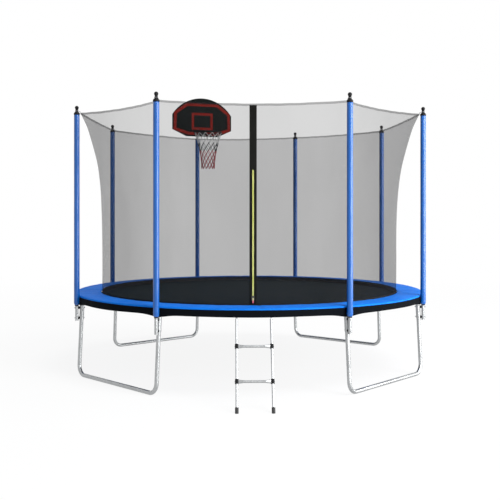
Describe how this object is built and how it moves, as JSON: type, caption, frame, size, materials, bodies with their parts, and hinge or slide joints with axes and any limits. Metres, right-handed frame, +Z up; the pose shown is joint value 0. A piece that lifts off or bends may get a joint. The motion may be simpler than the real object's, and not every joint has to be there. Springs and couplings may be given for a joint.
{
  "type": "trampoline",
  "caption": "Round garden trampoline on U shaped legs with a net on padded poles, a zipped door, a hook-on ladder and a basketball hoop.",
  "frame": {"origin": "on the ground, under the centre of the frame ring and of the mat", "axes": "+Z up; -Y towards the door and the ladder; +X to the right of someone facing the door from outside"},
  "size_m": [3.6748, 4.0945, 3.074],
  "materials": {
    "galvanised_tube": "satin",
    "sleeve_foam": "gloss",
    "black_plastic": "matte",
    "fastener_steel": "satin",
    "pad_vinyl": "gloss",
    "black_fabric": "matte",
    "spring_steel": "satin",
    "net_mesh": "matte",
    "net_hem": "matte",
    "grey_cord": "matte",
    "zip_tape": "matte",
    "zip_teeth": "satin",
    "slider_metal": "satin",
    "pull_plastic": "gloss",
    "board_plastic": "gloss",
    "rim_paint": "gloss",
    "white_cord": "matte",
    "mat_fabric": "satin",
    "black_webbing": "matte",
    "ladder_tube": "satin",
    "black_rubber": "matte"
  },
  "bodies": {
    "frame": {"ring_section_front_left": "galvanised_tube", "ring_section_left_front": "galvanised_tube", "ring_section_left_back": "galvanised_tube", "ring_section_back_left": "galvanised_tube", "ring_section_back_right": "galvanised_tube", "ring_section_right_back": "galvanised_tube", "ring_section_right_front": "galvanised_tube", "ring_section_front_right": "galvanised_tube", "leg_front_left": "galvanised_tube", "leg_front_right": "galvanised_tube", "leg_back_left": "galvanised_tube", "leg_back_right": "galvanised_tube", "pole_front_left": "galvanised_tube", "pole_left_front": "galvanised_tube", "pole_left_back": "galvanised_tube", "pole_back_left": "galvanised_tube", "pole_back_right": "galvanised_tube", "pole_right_back": "galvanised_tube", "pole_right_front": "galvanised_tube", "pole_front_right": "galvanised_tube", "pole_sleeve_front_left": "sleeve_foam", "pole_sleeve_left_front": "sleeve_foam", "pole_sleeve_left_back": "sleeve_foam", "pole_sleeve_back_left": "sleeve_foam", "pole_sleeve_back_right": "sleeve_foam", "pole_sleeve_right_back": "sleeve_foam", "pole_sleeve_right_front": "sleeve_foam", "pole_sleeve_front_right": "sleeve_foam", "pole_caps": "black_plastic", "pole_bolts": "fastener_steel", "pole_spacers": "black_plastic", "spring_pad": "pad_vinyl", "pad_skirt": "black_fabric", "springs": "spring_steel", "enclosure_net": "net_mesh", "net_top_hem": "net_hem", "net_foot_band": "net_mesh", "net_ties": "grey_cord", "door_band": "zip_tape", "zip_teeth": "zip_teeth", "backboard": "board_plastic", "hoop_post": "fastener_steel", "hoop_bracket": "fastener_steel", "rim": "rim_paint", "hoop_net": "white_cord", "hoop_bolts": "fastener_steel"},
    "mat": {"jumping_mat": "mat_fabric", "mat_webbing": "black_webbing", "v_rings": "spring_steel"},
    "zip_slider": {"zip_slider": "slider_metal"},
    "zip_pull": {"zip_pull": "pull_plastic"},
    "ladder": {"ladder_rail_left": "ladder_tube", "ladder_rail_right": "ladder_tube", "ladder_rung_upper": "ladder_tube", "ladder_rung_lower": "ladder_tube", "ladder_clips": "black_plastic", "ladder_bolts": "fastener_steel", "ladder_feet": "black_rubber", "ladder_hooks": "fastener_steel"}
  },
  "joints": [
    {"name": "mat_bounce", "type": "slide", "parent": "frame", "child": "mat", "axis": [0, 0, 1], "range_m": [-0.35, 0], "stiffness_N_per_m": 6000, "springref_m": 0.035, "deforming": ["springs", "net_foot_band"]},
    {"name": "zip_slide", "type": "slide", "parent": "frame", "child": "zip_slider", "axis": [0, -0.0155, 0.9999], "range_m": [0, 1.1]},
    {"name": "zip_pull_hinge", "type": "hinge", "parent": "zip_slider", "child": "zip_pull", "pos_m": [0, -1.58041, 0.85182], "axis": [-1, 0, 0], "range_deg": [0, 150]},
    {"name": "ladder_swing", "type": "hinge", "parent": "frame", "child": "ladder", "pos_m": [0, -1.80398, 0.7492], "axis": [-1, 0, 0], "range_deg": [0, 45], "deforming": ["pad_skirt"]}
  ]
}
